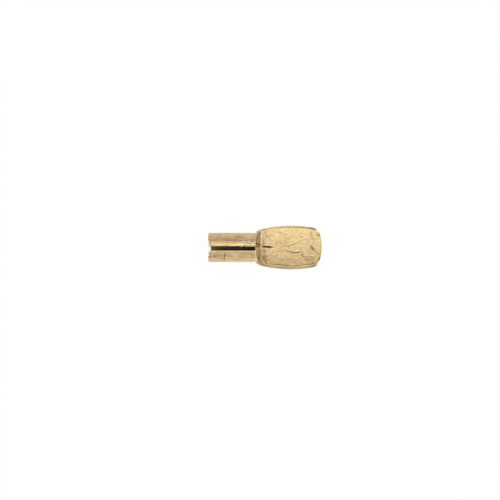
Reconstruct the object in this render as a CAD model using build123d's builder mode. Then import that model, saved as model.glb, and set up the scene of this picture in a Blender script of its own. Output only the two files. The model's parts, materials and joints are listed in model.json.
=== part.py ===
from build123d import *
import math
import os

# Shelf support pin: one strip of sheet, rolled to a split tube and pressed flat to a two-layer paddle.
# X runs along the shank's axis from its free end to the paddle's tip, and Z is up on the seam's side.
# The origin is on the shank's axis at the neck, where the round of the shank ends.

# Sheet
sheet = 0.6
layer_gap = 0.06

# Shank: split tube with an open slot along its crown
shank_diameter = 6.35
shank_length = 10.0
slot_width = 0.95
slot_offset = -0.25
slot_end = 0.25
seam_corner_depth = 0.7
seam_corner_half_width = 1.9

# Neck: steep wall from the tube's crown down to the paddle's deck, with a fold's ear on each side
crown_end = 0.35
wall_run = 1.0
foot_radius_share = 0.09
ear_at = 0.45
ear_step = 0.32
ear_height_share = 0.62
ear_bulge_radius = 0.95
ear_crown_dip = 0.02
foot_crown_dip = 0.06

# Paddle: barrel-sided in plan, with rounded folds, and trimmed at the tip by a broad arc and, at its
# corners, a tighter one
paddle_length = 14.68
paddle_width = 9.58
widest_at = 8.0
side_radius = 28.0
tip_radius = 10.4
corner_radius = 5.8
corner_overhang = 0.37
fold_bulge_share = 1.04
gap_start = 0.15
gap_mouth = 0.9

# Seam in the wall and the upper layer, bend by bend: along the paddle's length, across its
# half-width, and its half-gap in sheet thicknesses
seam_shares = (
    (0.024, 0.073, 0.22),
    (0.038, 0.138, 0.25),
    (0.092, 0.134, 0.17),
    (0.127, 0.017, 0.2),
    (0.181, 0.01, 0.33),
    (0.27, 0.004, 0.07),
    (0.496, 0.027, 0.05),
    (0.633, 0.176, 0.05),
    (0.749, 0.293, 0.05),
    (1.084, 0.377, 0.05),
)

# Angles that split the tube's circle into the stretches that become floor, fold, flank and crown
floor_angle = 52
fold_angle = 10
flank_angle = 12

# Cuts run this far past the faces they open
overrun = 1.0
stations = 5

# Derived sizes
outer_radius = shank_diameter / 2
inner_radius = outer_radius - sheet
floor = -outer_radius
head_thickness = 2 * sheet
deck = floor + head_thickness
fold_level = floor + sheet
gap_level = fold_level - layer_gap / 2
half_width = paddle_width / 2
fold_radius = fold_bulge_share * sheet
shaving = (fold_radius - sheet) / 2
shaved_reach = math.sqrt(fold_radius**2 - (sheet + shaving) ** 2)
foot_at = crown_end + wall_run
drop = outer_radius - deck
lean = wall_run / drop
foot_radius = foot_radius_share * drop
wall_length = math.hypot(wall_run, drop)
bore_end = crown_end - sheet * (wall_length - wall_run) / drop
tip_centre = paddle_length - tip_radius
corner_centre = paddle_length + corner_overhang - corner_radius
body_end = paddle_length + overrun
seam_corner_radius = (seam_corner_half_width**2 + seam_corner_depth**2) / (2 * seam_corner_depth)
crown_foot_y_share = math.cos(math.radians(flank_angle))
crown_foot_z_share = math.sin(math.radians(flank_angle))


# Half-width of the paddle at a distance from the neck
def side(x):
    return half_width - side_radius + math.sqrt(side_radius**2 - (x - widest_at) ** 2)


gap_neck = side(foot_at) - sheet
gap_widest = half_width - sheet
gap_tip = side(body_end) - sheet
seam = [(slot_end - sheet, slot_offset, slot_width / 4)]
for along, across, gap in seam_shares:
    seam.append((along * paddle_length, across * half_width, gap * sheet))

# Neck: the tube's lower half flares into the folds while its crown stays round and draws in a little
with BuildPart() as neck:
    with BuildSketch(Plane.YZ):
        with BuildLine():
            CenterArc((0, 0), outer_radius, -90 - floor_angle, 2 * floor_angle)
            CenterArc((0, 0), outer_radius, floor_angle - 90, 90 - floor_angle - fold_angle)
            CenterArc((0, 0), outer_radius, -fold_angle, fold_angle + flank_angle)
            CenterArc((0, 0), outer_radius, flank_angle, 180 - 2 * flank_angle)
            CenterArc((0, 0), outer_radius, 180 - flank_angle, fold_angle + flank_angle)
            CenterArc((0, 0), outer_radius, 180 + fold_angle, 90 - floor_angle - fold_angle)
        make_face()
    for x, reach, radius, level, dip in (
        (ear_at, outer_radius + ear_step, ear_bulge_radius, floor * ear_height_share, ear_crown_dip),
        (foot_at, side(foot_at), fold_radius, fold_level, foot_crown_dip),
    ):
        rise = level - floor
        inner = reach - radius + math.sqrt(max(radius**2 - rise**2, 0))
        crown_radius = outer_radius - dip
        crown_foot_y = crown_radius * crown_foot_y_share
        crown_foot_z = crown_radius * crown_foot_z_share
        with BuildSketch(Plane.YZ.offset(x)):
            with BuildLine():
                Line((-inner, floor), (inner, floor))
                ThreePointArc((inner, floor), (reach, level), (inner, level + rise))
                Line((inner, level + rise), (crown_foot_y, crown_foot_z))
                CenterArc((0, 0), crown_radius, flank_angle, 180 - 2 * flank_angle)
                Line((-crown_foot_y, crown_foot_z), (-inner, level + rise))
                ThreePointArc((-inner, level + rise), (-reach, level), (-inner, floor))
            make_face()
    loft(ruled=True)

# Paddle with its rounded folds, shaved to flat faces and trimmed to an arc at the tip
with BuildPart() as paddle:
    for step in range(stations):
        x = foot_at + (body_end - foot_at) * step / (stations - 1)
        inner = side(x) - fold_radius + shaved_reach
        with BuildSketch(Plane.YZ.offset(x)):
            with BuildLine():
                Line((-inner, floor - shaving), (inner, floor - shaving))
                ThreePointArc((inner, floor - shaving), (side(x), fold_level), (inner, deck + shaving))
                Line((inner, deck + shaving), (-inner, deck + shaving))
                ThreePointArc((-inner, deck + shaving), (-side(x), fold_level), (-inner, floor - shaving))
            make_face()
    loft()
    for level, way in ((deck, 1), (floor, -1)):
        with BuildSketch(Plane.XY.offset(level)):
            with Locations((paddle_length / 2, 0)):
                Rectangle(2 * body_end, 2 * paddle_width)
        extrude(amount=way * overrun, mode=Mode.SUBTRACT)
    for centre, radius in ((tip_centre, tip_radius), (corner_centre, corner_radius)):
        with BuildSketch(Plane.XY.offset(floor - overrun)):
            with Locations((centre, 0)):
                Rectangle(2 * radius + overrun, 2 * paddle_width, align=(Align.MIN, Align.CENTER))
                Circle(radius, mode=Mode.SUBTRACT)
        extrude(amount=head_thickness + 2 * overrun, mode=Mode.SUBTRACT)

# Bore of the tube, ending at the wall's inner face
with BuildPart() as bore:
    with BuildSketch(Plane.YZ.offset(-shank_length - overrun)):
        Circle(inner_radius)
    extrude(amount=shank_length + overrun + foot_at)
    with BuildSketch(Plane.XZ):
        with BuildLine():
            Polyline(
                (bore_end - overrun * lean, inner_radius + overrun),
                (bore_end + (shank_diameter + overrun) * lean, inner_radius - shank_diameter - overrun),
                (body_end, inner_radius - shank_diameter - overrun),
                (body_end, inner_radius + overrun),
                close=True,
            )
        make_face()
    extrude(amount=paddle_width, both=True, mode=Mode.SUBTRACT)

with BuildPart() as shelf_pin:
    # Shank, solid for now
    with BuildSketch(Plane.YZ.offset(-shank_length)):
        Circle(outer_radius)
    extrude(amount=shank_length)
    add(neck.part)
    # Steep wall across the neck
    with BuildSketch(Plane.XZ):
        with BuildLine():
            Polyline(
                (foot_at, deck),
                (body_end, deck),
                (body_end, outer_radius + overrun),
                (crown_end - overrun * lean, outer_radius + overrun),
                close=True,
            )
        make_face()
    extrude(amount=paddle_width, both=True, mode=Mode.SUBTRACT)
    add(paddle.part)
    # Rounded foot where the wall turns into the deck
    foot = shelf_pin.edges().filter_by(Axis.Y).sort_by_distance((foot_at, 0, deck))[0]
    fillet(foot, foot_radius)
    add(bore.part, mode=Mode.SUBTRACT)
    # Thin gap between the paddle's two layers
    with BuildSketch(Plane.XY.offset(gap_level)):
        with BuildLine():
            Line((gap_start, -gap_mouth), (gap_start, gap_mouth))
            Line((gap_start, gap_mouth), (foot_at, gap_neck))
            ThreePointArc((foot_at, gap_neck), (widest_at, gap_widest), (body_end, gap_tip))
            Line((body_end, gap_tip), (body_end, -gap_tip))
            ThreePointArc((body_end, -gap_tip), (widest_at, -gap_widest), (foot_at, -gap_neck))
            Line((foot_at, -gap_neck), (gap_start, -gap_mouth))
        make_face()
    extrude(amount=layer_gap, mode=Mode.SUBTRACT)
    # Open slot along the shank
    with BuildSketch(Plane.XY):
        with Locations(((slot_end - shank_length - overrun) / 2, slot_offset)):
            Rectangle(slot_end + shank_length + overrun, slot_width)
    extrude(amount=outer_radius + overrun, mode=Mode.SUBTRACT)
    # Rounded corners of the strip on both sides of the slot at the free end
    with BuildSketch(Plane.XY):
        with Locations((seam_corner_depth - shank_length - seam_corner_radius, slot_offset)):
            Circle(seam_corner_radius)
    extrude(amount=outer_radius + overrun, mode=Mode.SUBTRACT)
    # Closed seam through the wall and the upper layer
    with BuildSketch(Plane.XY.offset(fold_level)):
        with BuildLine():
            Polyline(
                *[(x, y + half) for x, y, half in seam],
                *[(x, y - half) for x, y, half in reversed(seam)],
                close=True,
            )
        make_face()
    extrude(amount=shank_diameter, mode=Mode.SUBTRACT)

shelf_pin.part.label = "shelf_pin"
os.makedirs("parts", exist_ok=True)
export_step(shelf_pin.part, "parts/shelf_pin.step")
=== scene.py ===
import json
import math

import bpy
import numpy as np
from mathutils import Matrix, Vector


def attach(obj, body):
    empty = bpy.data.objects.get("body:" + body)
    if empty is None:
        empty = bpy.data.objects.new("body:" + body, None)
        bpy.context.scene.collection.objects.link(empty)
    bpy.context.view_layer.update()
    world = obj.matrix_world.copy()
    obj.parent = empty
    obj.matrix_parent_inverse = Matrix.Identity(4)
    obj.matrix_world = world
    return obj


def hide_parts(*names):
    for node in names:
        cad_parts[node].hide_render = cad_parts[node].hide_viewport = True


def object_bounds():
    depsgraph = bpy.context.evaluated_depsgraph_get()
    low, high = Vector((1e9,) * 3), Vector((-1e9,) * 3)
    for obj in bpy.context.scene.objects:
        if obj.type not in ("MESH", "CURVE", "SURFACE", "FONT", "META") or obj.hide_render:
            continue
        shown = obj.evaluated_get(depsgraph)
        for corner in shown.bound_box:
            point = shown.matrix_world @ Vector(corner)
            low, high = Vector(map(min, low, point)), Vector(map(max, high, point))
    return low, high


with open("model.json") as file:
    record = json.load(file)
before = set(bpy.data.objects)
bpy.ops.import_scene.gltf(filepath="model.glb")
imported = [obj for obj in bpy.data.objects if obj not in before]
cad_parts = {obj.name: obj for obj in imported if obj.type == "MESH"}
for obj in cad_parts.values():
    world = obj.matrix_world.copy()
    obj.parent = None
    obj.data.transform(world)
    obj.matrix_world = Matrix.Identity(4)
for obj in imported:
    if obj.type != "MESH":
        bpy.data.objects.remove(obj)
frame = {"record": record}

cad_low, cad_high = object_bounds()

# The pin is one skin of points. Its columns go once round the section, each a fibre of the sheet, and its
# rows go from the free end to the paddle's tip. Marks are pressed into the skin in plan, and an inner
# face makes it a sheet. Sizes are in millimetres, X runs along the shank to the tip, and Z is up on the
# seam's side.
MM = 0.001
shank_mount = next(mount for mount in frame["record"]["mounts"] if mount["name"] == "shank")
RADIUS = shank_mount["dims"]["r_mm"]
SHANK = round(-cad_low[0] / MM, 2)
LENGTH = round(cad_high[0] / MM, 2)
HALF_WIDTH = round(cad_high[1] / MM, 2)
SHEET = 0.6
GAP = 0.06
FLOOR = -RADIUS
DECK = FLOOR + 2 * SHEET
FOLD_Z = FLOOR + SHEET

# Neck: the wall falls from the crown's end to its foot on the deck, with a fold's ear on each side. Its
# crest and foot are eased, each over a share of the wall at most.
CROWN_END = 0.32
FOOT = 1.22
EAR_X = 0.45
EAR_STEP = 0.34
EAR_HEIGHT_SHARE = 0.62
EAR_INSET = 0.95
CREST_EASE = 0.17
FOOT_EASE = 0.46
EASE_SHARE = 0.45
WALL_LEAN = (FOOT - CROWN_END) / (RADIUS - DECK)
EAR_REACH = RADIUS + EAR_STEP
EAR_Z = FLOOR * EAR_HEIGHT_SHARE
EAR_RISE = EAR_Z - FLOOR

# Paddle: barrel-sided, with rounded folds, its tip a broad arc with tighter corners
WIDEST_X = 8.0
SIDE_RADIUS = 28.0
TIP_RADIUS = 10.4
CORNER_RADIUS = 5.8
CORNER_OVERHANG = 0.37
FOLD_BULGE_SHARE = 1.04
TIP_CENTRE = LENGTH - TIP_RADIUS
CORNER_CENTRE = LENGTH + CORNER_OVERHANG - CORNER_RADIUS
FOLD_RADIUS = FOLD_BULGE_SHARE * SHEET
FOLD_INSET = FOLD_RADIUS - math.sqrt(FOLD_RADIUS**2 - SHEET**2)

# Worn corners of the tip: place across it, half-width, and how far the edge stands out
TIP_WEAR = (
    (4.25, 0.2, 0.26),
    (3.66, 0.16, -0.1),
    (3.1, 0.4, 0.14),
    (-3.4, 0.28, -0.2),
    (-4.15, 0.22, 0.24),
)

# Slot along the crown, the notch that the strip's rounded corners leave at the free end, and the strip
# of the deck that lies in line with the slot
SLOT_LOW = -0.705
SLOT_HIGH = 0.265
SLOT_END = 0.25
NOTCH_DEPTH = 0.7
NOTCH_HALF_WIDTH = 1.9
DECK_LOW = -0.6
DECK_HIGH = 0.25
NOTCH_RADIUS = (NOTCH_HALF_WIDTH**2 + NOTCH_DEPTH**2) / (2 * NOTCH_DEPTH)
NOTCH_Y = (SLOT_LOW + SLOT_HIGH) / 2

# Angles that split the tube's circle into floor, fold, flank and crown, and the angles from the crown
# at which the sheet's upper part begins on each side and ends
FLOOR_ANGLE = 52.0
FOLD_ANGLE = 10.0
FLANK_ANGLE = 12.0
FLANK_Y = RADIUS * math.cos(math.radians(FLANK_ANGLE))
FLANK_Z = RADIUS * math.sin(math.radians(FLANK_ANGLE))
LIP_ANGLES = {
    1: math.degrees(math.asin(SLOT_HIGH / RADIUS)),
    -1: math.degrees(math.asin(-SLOT_LOW / RADIUS)),
}
LID_END = 90 + FOLD_ANGLE

# Searches: steps past the last digit that matters, the first one's slack before the crown's end, and a
# length and an area that count as none
HALVINGS = 50
TIP_STEPS = 40
CREST_SLACK = 0.01
NO_LENGTH = 1e-4
NO_AREA = 1e-7

# Factors and shifts that scatter a grid place and a seed over the values of the noise
HASH_FACTORS = (374761393, 668265263, 974711)
HASH_SHIFTS = (13, 16)
HASH_TURN = 1274126177
HASH_MASK = 0x7FFFFFFF
VALUE_MASK = 0xFFFF


# Smooth step from 0 at the start to 1 at the end, which may lie below the start
def smooth(x, start, end):
    share = np.clip((x - start) / (end - start), 0, 1)
    return share * share * (3 - 2 * share)


# Bell of height 1 about a middle
def bell(x, middle, width):
    return np.exp(-(((x - middle) / width) ** 2))


# Even value noise in the plane, from 0 to 1
def noise(x, y, seed):
    column = np.floor(x).astype(np.int64)
    row = np.floor(y).astype(np.int64)
    along = smooth(x - column, 0, 1)
    across = smooth(y - row, 0, 1)

    def corner(right, up):
        by_column, by_row, by_seed = HASH_FACTORS
        first_shift, last_shift = HASH_SHIFTS
        value = ((column + right) * by_column + (row + up) * by_row + seed * by_seed) & HASH_MASK
        value = ((value ^ (value >> first_shift)) * HASH_TURN) & HASH_MASK
        return ((value ^ (value >> last_shift)) & VALUE_MASK) / VALUE_MASK

    near_edge = corner(0, 0) * (1 - along) + corner(1, 0) * along
    far_edge = corner(0, 1) * (1 - along) + corner(1, 1) * along
    return near_edge * (1 - across) + far_edge * across


# The same noise, from -0.5 to 0.5
def ripple(x, y, seed):
    return noise(x, y, seed) - 0.5


# Noise that varies in one direction only
def noise_along(x, seed):
    return noise(x, np.full_like(x, 0.5), seed)


# Strength of a stroke over plan points: its path has X, Y and strength at each bend
def stroke(x, y, path, width):
    strength = np.zeros_like(x)
    for (start_x, start_y, start), (end_x, end_y, end) in zip(path[:-1], path[1:]):
        run_x, run_y = end_x - start_x, end_y - start_y
        share = ((x - start_x) * run_x + (y - start_y) * run_y) / (run_x**2 + run_y**2)
        share = np.clip(share, 0, 1)
        off = (x - start_x - share * run_x) ** 2 + (y - start_y - share * run_y) ** 2
        strength = np.maximum(strength, (start + (end - start) * share) * np.exp(-off / width**2))
    return strength


# Half-width of the paddle at a distance from the neck
def side(x):
    return HALF_WIDTH - SIDE_RADIUS + np.sqrt(SIDE_RADIUS**2 - (x - WIDEST_X) ** 2)


FOOT_REACH = float(side(FOOT))


# Y and Z of a fold's rounded bulge, at a share of the way from its top to its bottom
def bulge(share, reach, level, inset, rise):
    radius = (rise**2 + inset**2) / (2 * inset)
    half_angle = math.asin(min(rise / radius, 1.0))
    angle = half_angle * (1 - 2 * share)
    return reach - radius + radius * np.cos(angle), level + radius * np.sin(angle)


# A size of the neck's section at X, from its values at the circle, the ear and the foot
def between(x, at_circle, at_ear, at_foot):
    to_ear = np.clip(x / EAR_X, 0, 1)
    to_foot = np.clip((x - EAR_X) / (FOOT - EAR_X), 0, 1)
    before = at_circle + (at_ear - at_circle) * to_ear
    after = at_ear + (at_foot - at_ear) * to_foot
    return np.where(x < EAR_X, before, after)


# Y and Z of the tube's upper part at X, at an angle in degrees from the crown
def lid(angle, x):
    y = RADIUS * np.sin(np.radians(angle))
    z = RADIUS * np.cos(np.radians(angle))
    down = np.clip((angle - (90 - FLANK_ANGLE)) / (FLANK_ANGLE + FOLD_ANGLE), 0, 1)
    ear_y = FLANK_Y + down * (EAR_REACH - EAR_INSET - FLANK_Y)
    ear_z = FLANK_Z + down * (EAR_Z + EAR_RISE - FLANK_Z)
    foot_y = FLANK_Y + down * (FOOT_REACH - FOLD_INSET - FLANK_Y)
    foot_z = FLANK_Z + down * (DECK - FLANK_Z)
    on_flank = angle > 90 - FLANK_ANGLE
    y = np.where(on_flank, between(x, y, ear_y, foot_y), y)
    z = np.where(on_flank, between(x, z, ear_z, foot_z), z)
    return y, z


# X where the upper part meets the steep wall at that angle, found by halving
def crest_x(angle):
    low, high = CROWN_END - CREST_SLACK, FOOT
    for _ in range(HALVINGS):
        middle = (low + high) / 2
        level = float(lid(np.array(angle), np.array(middle))[1])
        if level > RADIUS - (middle - CROWN_END) / WALL_LEAN:
            high = middle
        else:
            low = middle
    return (low + high) / 2


# X where the strip begins, at Y on its upper side
def notch_x(y):
    off = y - NOTCH_Y
    if abs(off) >= NOTCH_HALF_WIDTH:
        return -SHANK
    return NOTCH_DEPTH - SHANK - NOTCH_RADIUS + math.sqrt(NOTCH_RADIUS**2 - off**2)


# X of the tip's even outline at Y
def tip_line(y):
    broad = TIP_CENTRE + np.sqrt(TIP_RADIUS**2 - y**2)
    corner = CORNER_CENTRE + np.sqrt(CORNER_RADIUS**2 - y**2)
    return np.minimum(broad, corner)


# X where a fibre meets the worn tip, stepping from its Y at X to the outline's X at that Y
def tip_x(y_at, hand):
    x = LENGTH
    for _ in range(TIP_STEPS):
        y = float(y_at(x))
        x = float(tip_line(y))
    return x + sum(out * bell(hand * y, place, width) for place, width, out in TIP_WEAR)


# Columns round the section: across the slot, down the +Y side, along the floor and up the -Y side.
# Each has its stretch, a share of the way along it and its hand, 1 on the +Y side and -1 on the other.
# All counts of columns and rows are multiples of the inner face's step.
INNER_STEP = 3
SLOT_COLUMNS = 15
LID_COLUMNS = 69
FOLD_COLUMNS = 12
FLOOR_COLUMNS = 48
columns = [("slot", k / SLOT_COLUMNS, 1) for k in range(SLOT_COLUMNS)]
columns += [("lid", k / LID_COLUMNS, 1) for k in range(LID_COLUMNS)]
columns += [("fold", k / FOLD_COLUMNS, 1) for k in range(FOLD_COLUMNS)]
columns += [("floor", k / FLOOR_COLUMNS, 1) for k in range(FLOOR_COLUMNS)]
columns += [("fold", 1 - k / FOLD_COLUMNS, -1) for k in range(FOLD_COLUMNS)]
columns += [("lid", 1 - k / LID_COLUMNS, -1) for k in range(LID_COLUMNS)]
COLUMNS = len(columns)
UPPER = ("slot", "lid")
upper = np.array([kind in UPPER for kind, share, hand in columns])
# the fold's top edge on the -Y side closes the fold and has no wall
upper[COLUMNS - LID_COLUMNS] = False

# Rows along the fibres: shank, neck to the wall's crest, wall, paddle. They are closer at the free end
# and at the wall's two ends.
SHANK_ROWS = 105
NECK_ROWS = 30
WALL_ROWS = 36
PADDLE_ROWS = 216
CREST_ROW = SHANK_ROWS + NECK_ROWS
FOOT_ROW = CREST_ROW + WALL_ROWS
LAST_ROW = FOOT_ROW + PADDLE_ROWS
NECK_X = -0.3
SHANK_CROWDING = 1.3
shank_steps = np.linspace(0, 1, SHANK_ROWS + 1) ** SHANK_CROWDING
neck_steps = np.linspace(0, 1, NECK_ROWS + 1)
even_steps = np.linspace(0, 1, WALL_ROWS + 1)
wall_steps = (even_steps + (1 - np.cos(math.pi * even_steps)) / 2) / 2
paddle_steps = np.linspace(0, 1, PADDLE_ROWS + 1)


# X of the rows from the strip's start through the neck to the wall
def tube_rows(start, end):
    shank = start + shank_steps * (NECK_X - start)
    neck = NECK_X + neck_steps * (end - NECK_X)
    return np.concatenate([shank, neck[1:]])


# Y on the deck at X, for a column of the upper part
def deck_y(kind, share, hand, x):
    if kind == "slot":
        return np.full_like(x, DECK_LOW + share * (DECK_HIGH - DECK_LOW))
    edge = side(x) - FOLD_INSET
    if hand > 0:
        return DECK_HIGH + share * (edge - DECK_HIGH)
    return DECK_LOW - share * (edge + DECK_LOW)


# Rounds a fibre's corner at a row over a length on each side, as far as its wall has room
def ease(points, row, length):
    along = np.concatenate([[0], np.cumsum(np.linalg.norm(np.diff(points, axis=0), axis=1))])
    length = min(length, EASE_SHARE * (along[FOOT_ROW] - along[CREST_ROW]))
    if length < NO_LENGTH:
        return points
    start, end = (
        np.array([np.interp(along[row] + way * length, along, points[:, axis]) for axis in range(3)])
        for way in (-1, 1)
    )
    near = np.abs(along - along[row]) < length
    share = ((along[near] - along[row] + length) / (2 * length))[:, None]
    eased = points.copy()
    eased[near] = (1 - share) ** 2 * start + 2 * share * (1 - share) * points[row] + share**2 * end
    return eased


# Fibre of the upper part: along the tube to the crest, down the wall and along the deck
def upper_fibre(kind, share, hand):
    if kind == "slot":
        slot_y = SLOT_LOW + share * (SLOT_HIGH - SLOT_LOW)
        angle = math.degrees(math.asin(abs(slot_y) / RADIUS))
        sign = 1 if slot_y >= 0 else -1
    else:
        angle = LIP_ANGLES[hand] + share * (LID_END - LIP_ANGLES[hand])
        sign = hand
    start = notch_x(sign * RADIUS * math.sin(math.radians(angle))) if angle < 90 else -SHANK

    def y_at(x):
        return deck_y(kind, share, hand, x)

    points = np.zeros((LAST_ROW + 1, 3))
    x = tube_rows(start, crest_x(angle))
    y, z = lid(np.full_like(x, angle), x)
    points[: CREST_ROW + 1] = np.stack([x, sign * y, z], 1)
    crest = points[CREST_ROW].copy()
    foot = np.array([FOOT, float(y_at(FOOT)), DECK])
    points[CREST_ROW : FOOT_ROW + 1] = crest + wall_steps[:, None] * (foot - crest)
    x = FOOT + paddle_steps * (tip_x(y_at, 1) - FOOT)
    points[FOOT_ROW:] = np.stack([x, y_at(x), np.full_like(x, DECK)], 1)
    return ease(ease(points, FOOT_ROW, FOOT_EASE), CREST_ROW, CREST_EASE)


# Fibre of a fold or the floor: along the tube, out through the neck and along the paddle. It has no
# wall, so its wall rows all lie at the foot.
def lower_fibre(kind, share, hand):
    if kind == "fold":
        angle = math.radians(-FOLD_ANGLE - share * (90 - FLOOR_ANGLE - FOLD_ANGLE))
        ear_y, ear_z = bulge(share, EAR_REACH, EAR_Z, EAR_INSET, EAR_RISE)
        foot_y, foot_z = bulge(share, FOOT_REACH, FOLD_Z, FOLD_INSET, SHEET)
    else:
        across = (1 - 2 * share + math.sin(math.pi * (0.5 - share))) / 2
        angle = math.radians(across * FLOOR_ANGLE - 90)
        ear_y, ear_z = across * (EAR_REACH - EAR_INSET), FLOOR
        foot_y, foot_z = across * (FOOT_REACH - FOLD_INSET), FLOOR

    def y_at(x):
        if kind == "fold":
            return bulge(share, side(x), FOLD_Z, FOLD_INSET, SHEET)[0]
        return across * (side(x) - FOLD_INSET)

    points = np.zeros((LAST_ROW + 1, 3))
    x = tube_rows(-SHANK, FOOT)
    y = between(x, RADIUS * math.cos(angle), ear_y, foot_y)
    z = between(x, RADIUS * math.sin(angle), ear_z, foot_z)
    points[: CREST_ROW + 1] = np.stack([x, hand * y, z], 1)
    points[CREST_ROW : FOOT_ROW + 1] = points[CREST_ROW]
    x = FOOT + paddle_steps * (tip_x(y_at, hand) - FOOT)
    points[FOOT_ROW:] = np.stack([x, hand * y_at(x), np.full_like(x, foot_z)], 1)
    return points


# Even form of the skin
fibres = [upper_fibre(*column) if column[0] in UPPER else lower_fibre(*column) for column in columns]
skin = np.stack(fibres, axis=1)

# Its outward normals. A point with no area round it takes the nearest normal along its fibre.
normal = np.cross(np.gradient(skin, axis=0), np.roll(skin, -1, axis=1) - np.roll(skin, 1, axis=1))
area = np.linalg.norm(normal, axis=2)
for column in range(COLUMNS):
    good = np.nonzero(area[:, column] > NO_AREA)[0]
    for row in np.nonzero(area[:, column] <= NO_AREA)[0]:
        normal[row, column] = normal[good[np.argmin(np.abs(good - row))], column]
normal /= np.linalg.norm(normal, axis=2, keepdims=True)

# Where each point lies. The masks go from 0 off a face to 1 on it, over a few rows. The deck takes in the
# upper part of the folds.
FOLD_TOP_SHARE = 0.5
px, py, pz = skin[..., 0], skin[..., 1], skin[..., 2]
row_of = np.arange(LAST_ROW + 1)[:, None] * np.ones((1, COLUMNS))
fold_tops = np.array([kind == "fold" and share < FOLD_TOP_SHARE for kind, share, hand in columns])
top_columns = fold_tops | np.array([kind in UPPER for kind, share, hand in columns])
past_foot = smooth(row_of, FOOT_ROW - 4, FOOT_ROW + 4)
on_deck = top_columns * smooth(row_of, FOOT_ROW - 3, FOOT_ROW + 4)
on_wall = upper * smooth(row_of, CREST_ROW - 2, CREST_ROW + 3) * (1 - past_foot)
on_tube = (1 - smooth(row_of, CREST_ROW - 4, CREST_ROW)) * (pz > 0)
to_crest = upper * (1 - smooth(row_of, CREST_ROW, CREST_ROW + 3))
at_foot = np.clip(on_deck + on_wall, 0, 1)
EVERYWHERE = 1.0
half_deck = side(np.maximum(px, FOOT))
from_end = px - px[:1]
from_tip = px[-1:] - px

# Plan points that waver a little, so that marks aren't ruled lines
WAVER = 0.06
WAVER_CELLS = 3.1
waver_x = px + WAVER * ripple(px * WAVER_CELLS, py * WAVER_CELLS, 3)
waver_y = py + WAVER * ripple(px * WAVER_CELLS, py * WAVER_CELLS, 4)

# Fields on the skin: how far a point stands out, dirt with painted shade, painted highlights, brown stains
# with some painted shade, grey stains, and painted light and shade with the metal's tone, which is
# positive where the metal is darker
away = np.zeros_like(px)
dirt = np.zeros_like(px)
shine = np.zeros_like(px)
age = np.zeros_like(px)
grey = np.zeros_like(px)
tone = np.zeros_like(px)


# Strength of a wavering mark
def mark(path, width):
    return stroke(waver_x, waver_y, path, width)


# Raises a field to an amount wherever that is more
def cover(field, amount):
    np.maximum(field, amount, out=field)


# Presses marks into a face and darkens them, with dirt and painted shade
def press(marks, face):
    for path, width, depth, dark in marks:
        strength = mark(path, width) * face
        away[...] -= depth * strength
        cover(dirt, dark * strength)


# Raises marks out of a face and paints highlights on them
def lift(marks, face):
    for path, width, height, light in marks:
        strength = mark(path, width) * face
        away[...] += height * strength
        cover(shine, light * strength)


# Adds stains to a field
def stain(field, stains):
    for path, width, strength, face in stains:
        field += strength * mark(path, width) * face


# Sum of waves, each with its height, its cells in a unit of X and of Y, and its seed
def waves(x, y, table):
    return sum(height * ripple(x * along, y * across, seed) for height, along, across, seed in table)


# Seam: down the wall, open on the deck, then a hairline, and a faint trace to the tip
seam_wall = [
    (0.3, 0.5, 0.8), (0.42, 0.92, 0.9), (0.6, 0.8, 1), (0.9, 0.7, 1), (1.25, 0.63, 0.8), (1.5, 0.5, 0.1),
]
seam_open = [(1.75, 0.14, 0.3), (2.1, 0.12, 0.9), (2.9, 0.14, 1), (3.35, 0.1, 0.9), (4.0, 0.0, 0.2)]
seam_hairline = [
    (4.0, 0.0, 0.5), (5.6, 0.05, 0.25), (7.0, 0.12, 0.4), (7.4, 0.22, 0.9), (7.9, 0.45, 1), (8.6, 0.72, 1),
    (9.0, 0.86, 0.8), (9.4, 1.06, 0.2), (9.7, 1.2, 0.15), (10.0, 1.3, 0.4), (10.3, 1.3, 0.1),
]
seam_trace = [(10.3, 1.28, 0.1), (11.2, 1.72, 0.6), (11.8, 1.5, 0.3), (14.6, 1.72, 0.15)]

# Creases of the deck and of its folds
middle_crease = [
    (4.0, -1.1, 0.5), (5.0, -0.95, 0.25), (6.2, -0.85, 0.4), (7.1, -0.82, 0.6), (8.1, -1.09, 0.9),
    (8.7, -1.22, 1), (9.68, -1.09, 1), (10.0, -1.0, 0.4),
]
tip_crease = [
    (12.3, 0.15, 0.5), (12.45, -0.02, 1), (12.86, -0.5, 1), (13.25, -0.9, 0.6), (13.95, -1.58, 0.5),
    (14.1, -1.8, 0.3),
]
hooked_crease = [
    (10.5, -1.25, 0.9), (10.4, -1.5, 0.6), (10.47, -1.9, 0.9), (11.05, -2.1, 0.7), (11.7, -2.15, 0.4),
    (12.6, -2.2, 0.5),
]
lower_crease = [(10.9, -2.6, 0.5), (11.6, -2.68, 0.7), (12.5, -2.62, 0.6)]
low_fold_line = [
    (2.57, -3.6, 0.6), (4.2, -3.75, 0.9), (5.44, -3.86, 0.9), (6.4, -4.0, 0.8), (7.3, -4.06, 1),
    (9.3, -4.1, 0.9), (10.7, -3.88, 0.7), (12.45, -3.66, 1), (13.05, -3.4, 1),
]
high_fold_line = [
    (2.4, 3.85, 0.3), (3.6, 4.05, 0.4), (5.5, 4.3, 0.6), (7.3, 4.4, 0.8), (8.9, 4.4, 0.7),
    (10.4, 4.36, 0.9), (11.66, 4.25, 0.9), (12.6, 4.0, 1), (13.1, 3.8, 0.8),
]
neck_dent = [(2.4, 3.25, 0.5), (2.45, 2.6, 0.7), (2.85, 2.35, 1), (3.3, 1.85, 0.8)]
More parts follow.
